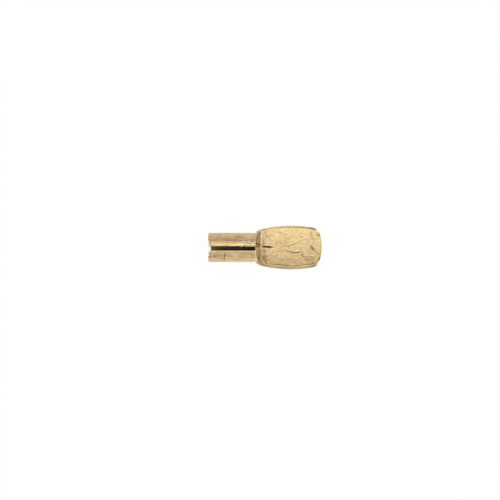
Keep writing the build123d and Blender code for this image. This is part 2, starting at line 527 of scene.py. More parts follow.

# Marks pressed into the deck: path, half-width, depth, dirt and painted shade
deck_marks = [
    (seam_open, 0.15, 0.34, 0.92),
    (seam_hairline, 0.07, 0.04, 0.65),
    (seam_trace, 0.10, 0.025, 0.3),
    (middle_crease, 0.10, 0.07, 0.85),
    (tip_crease, 0.18, 0.06, 0.55),
    ([(12.45, -0.02, 0.7), (12.8, -0.42, 1), (13.0, -0.62, 0.5)], 0.28, 0.03, 0.7),
    (hooked_crease, 0.13, 0.04, 0.85),
    (lower_crease, 0.15, 0.02, 0.6),
    (low_fold_line, 0.10, 0.05, 0.75),
    (high_fold_line, 0.09, 0.04, 0.35),
    # dent and spots on the +Y side of the neck
    (neck_dent, 0.2, 0.02, 0.15),
    ([(2.42, 3.15, 0.8), (2.46, 2.95, 0.8)], 0.24, 0.01, 0.4),
    ([(2.62, 2.45, 1), (2.75, 2.35, 1)], 0.24, 0.015, 0.5),
    ([(3.2, 1.95, 0.8), (3.35, 1.85, 0.8)], 0.2, 0.015, 0.45),
    # short scratches beside the seam
    ([(1.9, 0.86, 0.7), (2.1, 0.84, 0.7), (2.4, 0.8, 0.3)], 0.1, 0.06, 0.6),
    ([(1.85, 0.44, 0.8), (2.2, 0.42, 0.6)], 0.1, 0.05, 0.5),
    ([(2.75, 0.78, 0.7), (3.0, 0.76, 0.4), (3.72, 0.74, 0.9)], 0.1, 0.05, 0.45),
    # dents on the -Y side of the neck
    ([(1.95, -2.1, 0.8), (2.0, -2.6, 1), (2.2, -2.8, 0.4)], 0.22, 0.06, 0.75),
    ([(2.42, -1.9, 0.8), (2.42, -2.05, 0.8)], 0.14, 0.03, 0.7),
    ([(2.42, -3.0, 0.8), (2.45, -3.3, 0.8)], 0.2, 0.04, 0.75),
    ([(2.0, -0.75, 0.6), (2.3, -0.95, 0.9), (2.1, -1.2, 0.5)], 0.2, 0.03, 0.5),
    # dents toward the tip
    ([(12.42, 3.3, 0.8), (12.4, 2.2, 0.6)], 0.13, 0.04, 0.4),
    ([(12.45, 1.8, 0.6), (12.9, 1.75, 0.8), (13.0, 1.5, 0.3)], 0.18, 0.04, 0.4),
    ([(13.75, 2.75, 0.9), (14.1, 2.6, 1)], 0.22, 0.03, 0.6),
    ([(14.15, -2.2, 0.6), (14.15, -2.6, 1)], 0.2, 0.04, 0.8),
    ([(8.45, 2.15, 0.7), (8.5, 1.95, 0.7)], 0.16, 0.03, 0.3),
    ([(12.0, 4.3, 0.8), (12.5, 4.3, 0.9), (13.2, 4.0, 0.9)], 0.2, 0.05, 0.7),
]
press(deck_marks, on_deck)
# the seam down the wall, with painted shade in its gap
press([(seam_wall, 0.11, 0.35, 0.9)], np.maximum(on_wall, on_deck))

# Ridges beside the creases, with painted highlights: path, half-width, height, highlight
low_fold_ridge = [
    (3.0, -3.9, 0.5), (5.0, -4.12, 0.8), (7.4, -4.38, 0.6), (9.4, -4.36, 0.8), (11.5, -4.15, 0.8),
]
deck_ridges = [
    ([(8.4, -0.9, 0.3), (9.0, -0.9, 0.9), (9.7, -0.8, 1), (9.85, -0.76, 0.4)], 0.11, 0.03, 0.5),
    ([(12.9, -0.1, 0.3), (13.3, -0.55, 0.7), (13.9, -1.2, 0.4)], 0.18, 0.008, 0.15),
    ([(10.75, -1.6, 0.8), (11.1, -1.8, 0.6), (12.6, -1.85, 1), (12.9, -1.75, 0.8)], 0.13, 0.008, 0.32),
    ([(2.0, 0.4, 0.6), (3.0, 0.42, 0.8), (4.2, 0.3, 0.4)], 0.12, 0.01, 0.25),
    (low_fold_ridge, 0.12, 0.012, 0.2),
]
lift(deck_ridges, on_deck)

# Scratches and spots on the shank
round_scratch = [
    (-6.28, -0.85, 0.35), (-6.3, -1.2, 0.5), (-6.38, -1.6, 1), (-6.5, -2.1, 0.9), (-6.53, -2.5, 1),
    (-6.5, -2.8, 0.6),
]
tube_marks = [
    (round_scratch, 0.115, 0.03, 0.8),
    ([(-8.65, -1.75, 0.6), (-8.65, -1.95, 1)], 0.17, 0.03, 1.0),
    ([(-9.5, -1.95, 0.9), (-9.5, -2.05, 0.9)], 0.15, 0.02, 0.9),
    ([(-8.7, 1.45, 0.5), (-7.9, 1.75, 0.9), (-7.7, 2.1, 0.4)], 0.2, 0.01, 0.35),
    ([(-3.9, 2.5, 0.9), (-3.5, 2.35, 0.9), (-3.0, 2.4, 0.4)], 0.2, 0.01, 0.35),
    ([(-4.1, 1.72, 0.9), (-3.8, 1.72, 0.7)], 0.15, 0.01, 0.3),
    ([(-2.9, 1.5, 0.9), (-2.4, 1.5, 0.5)], 0.15, 0.01, 0.3),
    ([(-0.6, 1.7, 0.8), (-0.3, 1.72, 0.8), (-0.2, 1.3, 0.3)], 0.15, 0.02, 0.35),
    # pits in the torn lip
    ([(-2.3, 0.84, 0.7), (-1.2, 0.86, 0.9), (-0.6, 1.0, 0.7)], 0.13, 0.02, 0.45),
    ([(-2.2, 0.4, 1), (-1.85, 0.42, 0.6)], 0.12, 0.04, 0.7),
    ([(-1.2, 0.45, 0.7), (-0.7, 0.45, 0.5)], 0.12, 0.03, 0.4),
]
press(tube_marks, on_tube)

# Uneven pressing: a little crown across the deck, and waves, which on the tube go by X and the angle in
# degrees from the crown
DECK_CROWN = 0.11
CROWN_FADE = 1.5
WAVE_FADE = 1.0
deck_waves = ((0.025, 0.45, 0.6, 11), (0.010, 1.3, 1.6, 12), (0.006, 3.5, 3.5, 13))
tube_waves = ((0.012, 0.4, 0.12, 14), (0.006, 0.12, 0.5, 15))
wall_waves = ((0.02, 1.5, 1.5, 16),)
across_deck = py / (half_deck - FOLD_INSET)
away += on_deck * smooth(px, FOOT, FOOT + CROWN_FADE) * DECK_CROWN * (1 - across_deck**2)
away += on_deck * smooth(px, FOOT, FOOT + WAVE_FADE) * waves(px, py, deck_waves)
away += on_tube * waves(px, np.degrees(np.arctan2(py, pz)), tube_waves)
away += on_wall * waves(pz, py, wall_waves)

# Burrs on the slot's ragged lip near the neck, each with a painted highlight
BURR_HALF_LENGTH = 0.04
BURR_WIDTH = 0.11
BURR_HEIGHT = 0.03
BURR_HIGHLIGHT = 0.6
burrs = (
    (-2.58, 1.24), (-1.9, 0.62), (-1.13, 0.51), (-0.68, 0.51), (-0.05, 0.6), (-0.32, 1.24), (-1.0, 1.55),
)
for x, y in burrs:
    path = [(x - BURR_HALF_LENGTH, y, 1), (x + BURR_HALF_LENGTH, y, 1)]
    burr = stroke(px, py, path, BURR_WIDTH) * on_tube
    away += BURR_HEIGHT * burr
    cover(shine, BURR_HIGHLIGHT * burr)

# Crumbs on that lip, the low ones in painted shade and the high ones with painted highlights, and painted
# highlights along torn strokes
CRUMB_HEIGHT = 0.05
CRUMB_SHADE = 0.45
CRUMB_HIGHLIGHT = 0.22
TORN_WIDTH = 0.11
TORN_HIGHLIGHT = 0.25
crumbled = on_tube * smooth(px, -3.3, -2.7) * smooth(py, 0.25, 0.4) * (1 - smooth(py, 1.3, 1.75))
crumbs = noise(px * 4.6 + 0.3, py * 5.2, 41)
away += CRUMB_HEIGHT * crumbled * (crumbs - 0.5)
cover(dirt, CRUMB_SHADE * crumbled * smooth(crumbs, 0.4, 0.15))
cover(shine, CRUMB_HIGHLIGHT * crumbled * smooth(crumbs, 0.62, 0.85))
torn_strokes = [
    [(-3.0, 0.95, 0.5), (-2.6, 1.12, 1), (-2.1, 0.95, 0.6)],
    [(-1.9, 1.08, 0.8), (-1.3, 1.0, 1), (-1.0, 1.1, 0.4)],
    [(-2.6, 0.6, 0.8), (-2.1, 0.75, 1), (-1.6, 0.58, 0.6)],
    [(-1.4, 0.72, 1), (-0.9, 0.55, 0.8), (-0.5, 0.62, 0.6)],
    [(-0.6, 1.0, 1), (-0.2, 0.75, 0.8)],
]
for path in torn_strokes:
    cover(shine, TORN_HIGHLIGHT * mark(path, TORN_WIDTH) * on_tube)

# Painted highlights along the slot's rounded lip and on the crown's rim
LIP_HIGHLIGHT_WIDTH = 0.2
LIP_HIGHLIGHT = 0.05
RIM_WIDTH = 0.17
lip_highlight = [(-9.2, 0.52, 0.7), (-5.5, 0.55, 1), (-2.9, 0.55, 0.8), (-2.0, 0.7, 0.2), (0.0, 0.62, 0.5)]
rim = [(0.19, -0.1, 1), (0.21, -0.6, 1), (0.25, -1.3, 1), (0.36, -2.1, 0.8), (0.53, -2.85, 0.4)]
cover(shine, LIP_HIGHLIGHT * mark(lip_highlight, LIP_HIGHLIGHT_WIDTH) * on_tube)
cover(shine, stroke(px, py, rim, RIM_WIDTH) * to_crest)


# Depth of a rounded edge at a distance from it
def rounding(distance, depth, reach):
    return depth * np.clip(1 - distance / reach, 0, 1) ** 2


# Rounded edges: the slot's lips, the free end and the tip, where the folds' ends are sharper
FAR = 9.0
LIP_SLACK = 0.01
LIP_ROUND_DEPTH = 0.09
LIP_ROUND_REACH = 0.16
END_ROUND_DEPTH = 0.07
END_ROUND_REACH = 0.2
TIP_ROUND_DEPTH = 0.15
TIP_ROUND_REACH = 0.28
FOLD_END_DEPTH = 0.05
FOLD_END_WIDTH = 0.4
from_low_lip = np.where(py > SLOT_LOW + LIP_SLACK, FAR, np.abs(py - SLOT_LOW))
from_high_lip = np.where(py < SLOT_HIGH - LIP_SLACK, FAR, np.abs(py - SLOT_HIGH))
from_lip = np.minimum(from_low_lip, from_high_lip)
tip_depth = np.where(np.abs(py) > side(px) - FOLD_END_WIDTH, FOLD_END_DEPTH, TIP_ROUND_DEPTH)
end_round = rounding(from_end, END_ROUND_DEPTH, END_ROUND_REACH)
away -= on_tube * (px < SLOT_END) * rounding(from_lip, LIP_ROUND_DEPTH, LIP_ROUND_REACH)
away -= end_round
away -= rounding(from_tip, tip_depth, TIP_ROUND_REACH)

# Outer skin, with the torn lip leaning into the slot. The path has X and strength along the lip.
LIP_LEAN = 0.16
LIP_SAG = 0.10
LIP_DIRT = 0.35
TORN_LIP_Y = 0.225
TORN_LIP_WIDTH = 0.12
torn_path = (
    (-3.2, 0), (-2.9, 1), (-2.4, 0.2), (-2.0, 1), (-1.5, 0.9), (-1.0, 0.5), (-0.4, 0.9), (0.2, 0.3),
)
torn_lip = [(x, TORN_LIP_Y, strength) for x, strength in torn_path]
outer = skin + normal * away[..., None]
lean_in = stroke(px, py, torn_lip, TORN_LIP_WIDTH) * on_tube * (py > SLOT_HIGH - LIP_SLACK)
lean_in *= 0.5 + 0.9 * noise_along(px * 4.2, 21)
outer[..., 1] -= LIP_LEAN * lean_in
outer[..., 2] -= LIP_SAG * lean_in
cover(dirt, LIP_DIRT * lean_in * (noise(px * 5.0, py * 5.0, 22) > 0.5))

# Painted shade in the neck's creases: path, half-width, darkness
neck_marks = [
    ([(1.05, 3.3, 0.8), (1.1, 3.0, 1), (1.05, 2.6, 0.3)], 0.16, 0.3),
    ([(1.5, 3.7, 0.8), (1.45, 3.2, 0.6)], 0.16, 0.4),
    ([(0.8, 3.05, 0.8), (0.6, 2.5, 1), (0.46, 1.6, 1), (0.44, 0.95, 1)], 0.12, 0.6),
    ([(0.52, -0.9, 0.5), (0.58, -1.4, 1), (0.68, -2.1, 0.9), (0.8, -2.6, 0.4)], 0.09, 0.45),
    ([(0.78, -1.1, 0.5), (0.82, -1.7, 0.9), (0.88, -2.4, 0.8)], 0.07, 0.4),
    ([(1.04, -0.8, 0.5), (1.06, -1.5, 1), (1.08, -2.3, 0.9), (1.1, -2.9, 0.5)], 0.09, 0.5),
    ([(1.5, -0.7, 0.6), (1.55, -1.8, 1), (1.6, -3.4, 1)], 0.24, 0.25),
]
for path, width, dark in neck_marks:
    cover(dirt, dark * stroke(px, py, path, width) * at_foot)

# Brown and grey stains: path, half-width, strength, face
SLOT_STAIN_WIDTH = 0.22
slot_stain = [(-9.2, 0.95, 0.8), (-6.0, 0.95, 1), (-2.5, 1.0, 0.8), (-0.2, 1.0, 0.5)]
high_fold_stain = [(6.0, 4.3, 0.4), (8.5, 4.42, 0.8), (10.0, 4.4, 1), (11.5, 4.25, 0.7)]
tip_patch = [(10.9, 1.85, 0.8), (11.3, 1.4, 0.6), (11.66, 0.9, 1), (11.75, 0.6, 0.6)]
grey_line = [(-8.9, 1.5, 0.5), (-6.5, 1.52, 0.8), (-4.0, 1.46, 0.9), (-2.0, 1.42, 1), (0.0, 1.4, 0.9)]
brown_stains = [
    ([(6.3, -4.45, 1), (7.1, -4.55, 1)], 0.3, 0.9, EVERYWHERE),
    ([(1.95, -2.3, 0.4), (2.0, -3.6, 1)], 0.36, 0.8, on_deck),
    (high_fold_stain, 0.18, 0.5, on_deck),
    (slot_stain, SLOT_STAIN_WIDTH, 0.95, on_tube),
    ([(-6.3, 1.9, 1), (-5.0, 1.9, 1)], 0.18, 0.6, on_tube),
    ([(-4.6, 2.6, 1), (-3.4, 2.6, 1)], 0.25, 0.4, on_tube),
]
grey_stains = [
    ([(12.3, 4.2, 1), (13.1, 4.0, 1)], 0.35, 0.8, EVERYWHERE),
    (tip_patch, 0.4, 0.75, on_deck),
    ([(1.75, -0.8, 0.8), (1.9, -2.0, 1)], 0.3, 0.6, on_deck),
    ([(2.4, 3.3, 0.8), (2.9, 2.4, 1)], 0.35, 0.6, on_deck),
    (grey_line, 0.16, 0.9, on_tube),
]
stain(age, brown_stains)
stain(grey, grey_stains)

# A broken dark line within the long grey one
GREY_LINE_WIDTH = 0.11
GREY_LINE_DIRT = 0.55
broken = smooth(noise_along(px * 2.2, 31), 0.3, 0.8)
cover(dirt, GREY_LINE_DIRT * mark(grey_line, GREY_LINE_WIDTH) * on_tube * broken)

# Painted shade and light of the deck: painted shade by the neck, darker before the tip, lighter at the
# tip's edge, and a painted highlight on the +Y fold
neck_high = (1 - smooth(px, 1.9, 3.1)) * smooth(py, -0.3, 0.4)
neck_low = (1 - smooth(px, 2.2, 3.3)) * (1 - smooth(py, -0.5, 0.2))
upper_fold = on_deck * smooth(py - half_deck, -0.42, -0.2)
cover(tone, np.maximum(0.20 * neck_high, 0.17 * neck_low) * on_deck)
cover(tone, 0.07 * on_deck * bell(px, 12.7, 0.7))
tone -= 0.3 * on_deck * (1 - smooth(from_tip, 0.1, 0.4))
tone -= 0.3 * upper_fold
cover(shine, 0.18 * upper_fold)

# Painted light and shade of the wall and its foot: the wall is painted lighter on its -Y side and toward
# the foot, and in a greyer, darker painted shade and reflection on its +Y side. The foot has a band of
# painted highlight, stronger toward +Y, and painted shade, browner, on its -Y side
painted_wall_shade = np.clip(on_wall, 0, 1) * np.where(py > 0.3, 0.85, 0.1)
foot_band = bell(px, 1.37, 0.24) * at_foot
toward_high = smooth(py, -0.6, 0.4)
lower_foot = bell(px, 1.5, 0.45) * (1 - smooth(py, -0.5, 0.2)) * at_foot
tone -= on_wall * (0.8 * (1 - smooth(py, -0.1, 0.4)) + 0.3 * smooth(px, 0.9, 1.15))
tone -= foot_band * (0.1 + 0.3 * toward_high)
tone += 0.08 * lower_foot
cover(shine, foot_band * (0.06 + 0.1 * toward_high))
# painted shade, browner, beside the wall's foot on its -Y side
age += 0.2 * lower_foot

# Shade of the shank: a darker stain beside the slot, and steps of painted light and shade down both flanks
tone += 0.16 * mark(slot_stain, SLOT_STAIN_WIDTH) * on_tube
tone -= on_tube * (0.16 * smooth(py, 1.55, 1.75) - 0.29 * smooth(py, 1.95, 2.5))
tone -= on_tube * (
    0.05 * smooth(-py, 0.8, 1.0) + 0.14 * smooth(-py, 1.6, 1.8) - 0.18 * smooth(-py, 2.0, 2.4)
)

# Inner face of the sheet, thinner at the free end
END_THINNING = 0.13
END_THINNING_REACH = 0.75
end_thinning = END_THINNING * np.clip(1 - from_end / END_THINNING_REACH, 0, 1) + end_round
inner = outer - normal * (SHEET - GAP / 2 - end_thinning)[..., None]

# Behind the tip's worn edge it follows the even outline, further back at the corners
TIP_COVER = 0.1
CORNER_COVER = 0.17
TIP_ROWS = 18
tip_y = py[-1:]
behind_tip = tip_line(tip_y) - TIP_COVER - CORNER_COVER * smooth(np.abs(tip_y), 2.4, 3.2)
inner[..., 0] -= (px[-1:] - behind_tip) * smooth(row_of, LAST_ROW - TIP_ROWS, LAST_ROW)

# At the neck's narrow corners it is drawn in, so that it stays under the outer skin
NECK_MARGIN = 0.4
EAR_COVER = 0.55
CROWN_COVER = 0.45
WALL_COVER = 0.3
inner_x, inner_y, inner_z = inner[..., 0], inner[..., 1], inner[..., 2]
at_neck = (inner_x > -NECK_MARGIN) & (inner_x < FOOT + NECK_MARGIN)
above_deck = smooth(inner_z, DECK - 0.25, DECK + 0.3)
low_limit = between(inner_x, RADIUS, EAR_REACH, FOOT_REACH) - EAR_COVER
high_limit = RADIUS - SHEET - CROWN_COVER * smooth(inner_x, -NECK_MARGIN, 0.2)
limit = low_limit * (1 - above_deck) + high_limit * above_deck
behind_wall = CROWN_END + (RADIUS - inner_z) * WALL_LEAN - WALL_COVER
inner[..., 1] = np.where(at_neck, np.clip(inner_y, -limit, limit), inner_y)
inner[..., 0] = np.where(at_neck & (inner_z > DECK), np.minimum(inner_x, behind_wall), inner_x)
inner = inner[::INNER_STEP, ::INNER_STEP].copy()

# Points of both faces, and the row at which the slot ends
INNER_ROWS, INNER_COLUMNS = inner.shape[:2]
OUTER_POINTS = (LAST_ROW + 1) * COLUMNS
points = np.concatenate([outer.reshape(-1, 3), inner.reshape(-1, 3)])
rows_to_slot_end = int(np.searchsorted(px[: CREST_ROW + 1, SLOT_COLUMNS // 2], SLOT_END))
SLOT_ROW = INNER_STEP * round(rows_to_slot_end / INNER_STEP)


# Numbers of the points. Where a column has no wall, its wall rows are one point.
def outer_id(row, column):
    column %= COLUMNS
    if CREST_ROW < row <= FOOT_ROW and not upper[column]:
        row = CREST_ROW
    return row * COLUMNS + column


def inner_id(row, column):
    column %= INNER_COLUMNS
    if CREST_ROW < row * INNER_STEP <= FOOT_ROW and not upper[column * INNER_STEP]:
        row = CREST_ROW // INNER_STEP
    return OUTER_POINTS + row * INNER_COLUMNS + column


faces = []


# Adds a face without its repeated points, unless too few are left
def add_face(ring, flip):
    ring = [point for n, point in enumerate(ring) if point != ring[n - 1]]
    if len(set(ring)) > 2:
        faces.append(tuple(ring[::-1] if flip else ring))


# The corners of a cell of a face's grid
def cell(row, column):
    return (row, column), (row + 1, column), (row + 1, column + 1), (row, column + 1)


for row in range(LAST_ROW):
    for column in range(COLUMNS):
        if row >= SLOT_ROW or column >= SLOT_COLUMNS:
            add_face([outer_id(*corner) for corner in cell(row, column)], False)
for row in range(INNER_ROWS - 1):
    for column in range(INNER_COLUMNS):
        if row * INNER_STEP >= SLOT_ROW or column * INNER_STEP >= SLOT_COLUMNS:
            add_face([inner_id(*corner) for corner in cell(row, column)], True)


# Cut edge of the sheet, along a run of outer points and the inner points behind it
def cut(outer_run, inner_run, flip):
    for n in range(len(inner_run) - 1):
        start = n * INNER_STEP
        add_face(outer_run[start : start + INNER_STEP + 1] + [inner_run[n + 1], inner_run[n]], flip)


# Cut edge along a row, between two columns
def cut_row(row, first, last, flip):
    inner_columns = range(first // INNER_STEP, last // INNER_STEP + 1)
    outer_run = [outer_id(row, column) for column in range(first, last + 1)]
    cut(outer_run, [inner_id(row // INNER_STEP, column) for column in inner_columns], flip)


# Cut edge along a column, from the free end to a row
def cut_column(column, last, flip):
    outer_run = [outer_id(row, column) for row in range(last + 1)]
    inner_rows = range(last // INNER_STEP + 1)
    cut(outer_run, [inner_id(row, column // INNER_STEP) for row in inner_rows], flip)


# Free end, tip, the slot's two lips and its end
cut_row(0, SLOT_COLUMNS, COLUMNS, False)
cut_row(LAST_ROW, 0, COLUMNS, True)
cut_column(0, SLOT_ROW, True)
cut_column(SLOT_COLUMNS, SLOT_ROW, False)
cut_row(SLOT_ROW, 0, SLOT_COLUMNS, False)

# Mesh of the points that the faces use
SHARP_ANGLE = 40
used = np.unique(np.concatenate([np.array(face) for face in faces]))
new_id = np.full(len(points), -1)
new_id[used] = np.arange(len(used))
mesh = bpy.data.meshes.new("pin_sheet")
mesh.from_pydata((points[used] * MM).tolist(), [], [tuple(new_id[list(face)].tolist()) for face in faces])
mesh.update()
for polygon in mesh.polygons:
    polygon.use_smooth = True
mesh.set_sharp_from_angle(angle=math.radians(SHARP_ANGLE))


# Keeps a field on the mesh's points, for the material to read
def layer(name, outer_values, inner_values):
    values = np.concatenate([outer_values.reshape(-1), inner_values.reshape(-1)])[used]
    attribute = mesh.attributes.new(name, "FLOAT", "POINT")
    attribute.data.foreach_set("value", np.ascontiguousarray(values, np.float32))


# The inner face is painted in shade, apart from a painted lit margin at the free end, short in the tube's
# bottom, and one at the tip
BOTTOM_Z = -1.2
none_outside = np.zeros_like(px)
none_inside = np.zeros((INNER_ROWS, INNER_COLUMNS))
from_mouth = inner[..., 0] + SHANK
to_tip = LENGTH - inner[..., 0]
deep = np.where(inner[..., 2] < BOTTOM_Z, smooth(from_mouth, 0.42, 0.54), smooth(from_mouth, 0.8, 2.5))
deep *= smooth(to_tip, 0.08, 0.68)
bright = (1 - deep) * (0.3 + 0.7 * smooth(from_mouth, 0.03, 0.2))
layer("dirt", np.clip(dirt, 0, 1), none_inside)
layer("shine", np.clip(shine, 0, 1), none_inside)
layer("age", np.clip(age, 0, 1), none_inside)
layer("grey", np.clip(grey, 0, 1), none_inside)
layer("wall", painted_wall_shade, none_inside)
layer("tone", np.clip(tone, -1, 1), none_inside)
layer("deep", none_outside, deep)
layer("bright", none_outside, bright)

pin = bpy.data.objects.new("pin_sheet", mesh)
bpy.context.scene.collection.objects.link(pin)
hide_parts("shelf_pin")
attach(pin, "root")


# Makes nodes in one tree. Inputs are sockets to link or values to set.
class Tree:
    def __init__(self, tree):
        self.tree = tree

    def node(self, kind, inputs=None, **settings):
        made = self.tree.nodes.new(kind)
        for name, value in settings.items():
            setattr(made, name, value)
        for name, value in (inputs or {}).items():
            if isinstance(value, bpy.types.NodeSocket):
                self.tree.links.new(value, made.inputs[name])
            else:
                made.inputs[name].default_value = value
        return made

    def math(self, operation, first, second=0.0, clamp=False):
        settings = {"operation": operation, "use_clamp": clamp}
        return self.node("ShaderNodeMath", {0: first, 1: second}, **settings).outputs[0]

    def plus(self, first, second, clamp=False):
        return self.math("ADD", first, second, clamp)

    def minus(self, first, second):
        return self.math("SUBTRACT", first, second)

    def times(self, first, second, clamp=False):
        return self.math("MULTIPLY", first, second, clamp)

    def mix(self, share, first, second, blend="MIX"):
        settings = {"data_type": "RGBA", "blend_type": blend}
        return self.node("ShaderNodeMix", {0: share, 6: first, 7: second}, **settings).outputs[2]

    def ramp(self, value, low, high, to_low=0.0, to_high=1.0):
        inputs = {0: value, 1: low, 2: high, 3: to_low, 4: to_high}
        return self.node("ShaderNodeMapRange", inputs).outputs[0]

    def attribute(self, name):
        return self.node("ShaderNodeAttribute", attribute_name=name).outputs["Fac"]


# Brass: noise textures with their cells a millimetre along X, Y and Z, turn about Z, detail, roughness
BRASS_TEXTURES = {
    "streaks": ((0.03, 2.2, 2.2), 0.0, 1.0, 0.55),
    "fine_streaks": ((0.06, 9.0, 9.0), 0.0, 3.0, 0.55),
    "clouds": ((0.55, 0.7, 0.7), 0.0, 5.0, 0.6),
    "grain": ((4.5, 4.5, 4.5), 0.0, 4.0, 0.7),
    "hatch": ((1.1, 12.0, 6.0), 0.3, 2.0, 0.55),
    "cross_hatch": ((1.0, 10.0, 6.0), -0.75, 2.0, 0.55),
    "patches": ((1.0, 1.6, 1.6), 0.0, 2.0, 0.55),
    "flecks": ((1.6, 2.6, 2.6), 0.3, 2.0, 0.55),
    "mottle": ((1.9, 3.4, 3.4), 0.0, 2.0, 0.6),
    "stains": ((0.55, 2.6, 2.6), 0.0, 1.0, 0.5),
    "brushed": ((0.25, 3.2, 3.2), 0.0, 1.0, 0.5),
    "pink_tint": ((0.5, 2.0, 2.0), 0.0, 0.0, 0.55),
    "olive_tint": ((0.6, 2.3, 2.3), 0.2, 0.0, 0.55),
}
BRASS_COLOURS = {
    "deck": (0.715, 0.535, 0.275, 1),
    "deck_cloud": (0.665, 0.462, 0.208, 1),
    "deck_patch": (0.655, 0.51, 0.325, 1),
    "deck_fleck": (0.765, 0.59, 0.30, 1),
    "tube": (0.815, 0.607, 0.347, 1),
    "tube_streak": (0.737, 0.503, 0.233, 1),
    "tube_line": (0.58, 0.47, 0.31, 1),
    "pink": (0.82, 0.60, 0.42, 1),
    "olive": (0.71, 0.55, 0.25, 1),
    "grey": (0.54, 0.475, 0.375, 1),
    # brown stains, and painted shade at the -Y side of the wall's foot
    "age": (0.62, 0.36, 0.12, 1),
    # painted shade and reflection of the steep wall
    "wall": (0.60, 0.545, 0.36, 1),
    # painted highlight
    "shine": (1.0, 0.92, 0.74, 1),
    # dirt, and painted shade in creases, gaps and low crumbs
    "dirt": (0.13, 0.085, 0.03, 1),
    # painted light on the inner face near the free end and the tip
    "bright": (1.0, 0.88, 0.56, 1),
    # painted shade on the inner face
    "deep": (0.16, 0.115, 0.05, 1),
}
# Strengths of the grey and brown stains and of the wall's painted shade and reflection
STAIN_AND_PAINTED_SHADE_STRENGTHS = {"grey": 0.75, "age": 0.8, "wall": 0.8}
RELIEF = 0.03
RELIEF_STRENGTH = 0.8
# a shade that changes nothing
EVEN = (1, 1, 1, 1)


# Noise textures of the brass, by name, at a place in metres
def brass_textures(tree, place):
    made = {}
    for name, (cells, turn, detail, roughness) in BRASS_TEXTURES.items():
        scale = tuple(count / MM for count in cells)
        stretch = {"Vector": place, "Rotation": (0, 0, turn), "Scale": scale}
        vector = tree.node("ShaderNodeMapping", stretch).outputs[0]
        inputs = {"Vector": vector, "Scale": 1.0, "Detail": detail, "Roughness": roughness}
        made[name] = tree.node("ShaderNodeTexNoise", inputs).outputs[0]
    return made


# Plain metal before shade, stains and painted light: mottled on the paddle, streaked on the tube
def brass_metal(tree, texture, on_paddle):
    colour = BRASS_COLOURS
    deck = tree.mix(tree.ramp(texture["clouds"], 0.41, 0.59), colour["deck"], colour["deck_cloud"])
    deck = tree.mix(tree.ramp(texture["patches"], 0.50, 0.64, 0.0, 0.65), deck, colour["deck_patch"])
    deck = tree.mix(tree.ramp(texture["flecks"], 0.54, 0.66, 0.0, 0.7), deck, colour["deck_fleck"])
    tube = tree.mix(tree.ramp(texture["streaks"], 0.40, 0.60), colour["tube"], colour["tube_streak"])
    tube = tree.mix(tree.ramp(texture["fine_streaks"], 0.5, 0.66, 0.0, 0.25), tube, colour["tube_line"])
    tube = tree.mix(tree.ramp(texture["pink_tint"], 0.52, 0.66, 0.0, 0.5), tube, colour["pink"])
    tube = tree.mix(tree.ramp(texture["olive_tint"], 0.52, 0.66, 0.0, 0.5), tube, colour["olive"])
    return tree.mix(on_paddle, tube, deck)


# Light and dark of the metal: painted shade across the paddle, darker toward -Y, then grain, spots,
# brushed lines and scratches. The underside has fainter spots.
def brass_shade(tree, texture, xyz, on_paddle, scratches):
    across = xyz["Y"]
    # painted shade, darker toward -Y across the paddle
    shade = tree.ramp(tree.times(across, on_paddle), -4.2 * MM, 4.0 * MM, 0.83, 0.975)
    shade = tree.times(shade, tree.ramp(texture["grain"], 0.3, 0.7, 0.93, 1.06))
    tube_spots = tree.ramp(texture["stains"], 0.3, 0.7, 0.80, 1.18)
    deck_spots = tree.ramp(texture["mottle"], 0.3, 0.7, 0.80, 1.18)
    spots = tree.mix(on_paddle, tube_spots, deck_spots)
    spots = tree.mix(tree.ramp(xyz["Z"], -3.1 * MM, -2.8 * MM, 0.75, 0.0), spots, EVEN)
    shade = tree.times(shade, spots)
    lower_deck = tree.times(on_paddle, tree.ramp(across, -0.5 * MM, 1.0 * MM, 1.0, 0.35))
    lines = tree.times(lower_deck, tree.ramp(texture["brushed"], 0.32, 0.68, -0.11, 0.09))
    shade = tree.times(shade, tree.plus(1.0, lines))
    shade = tree.times(shade, tree.ramp(scratches, 0.0, 1.0, 1.0, 0.94))
    return tree.times(shade, tree.minus(1.0, tree.attribute("tone")))


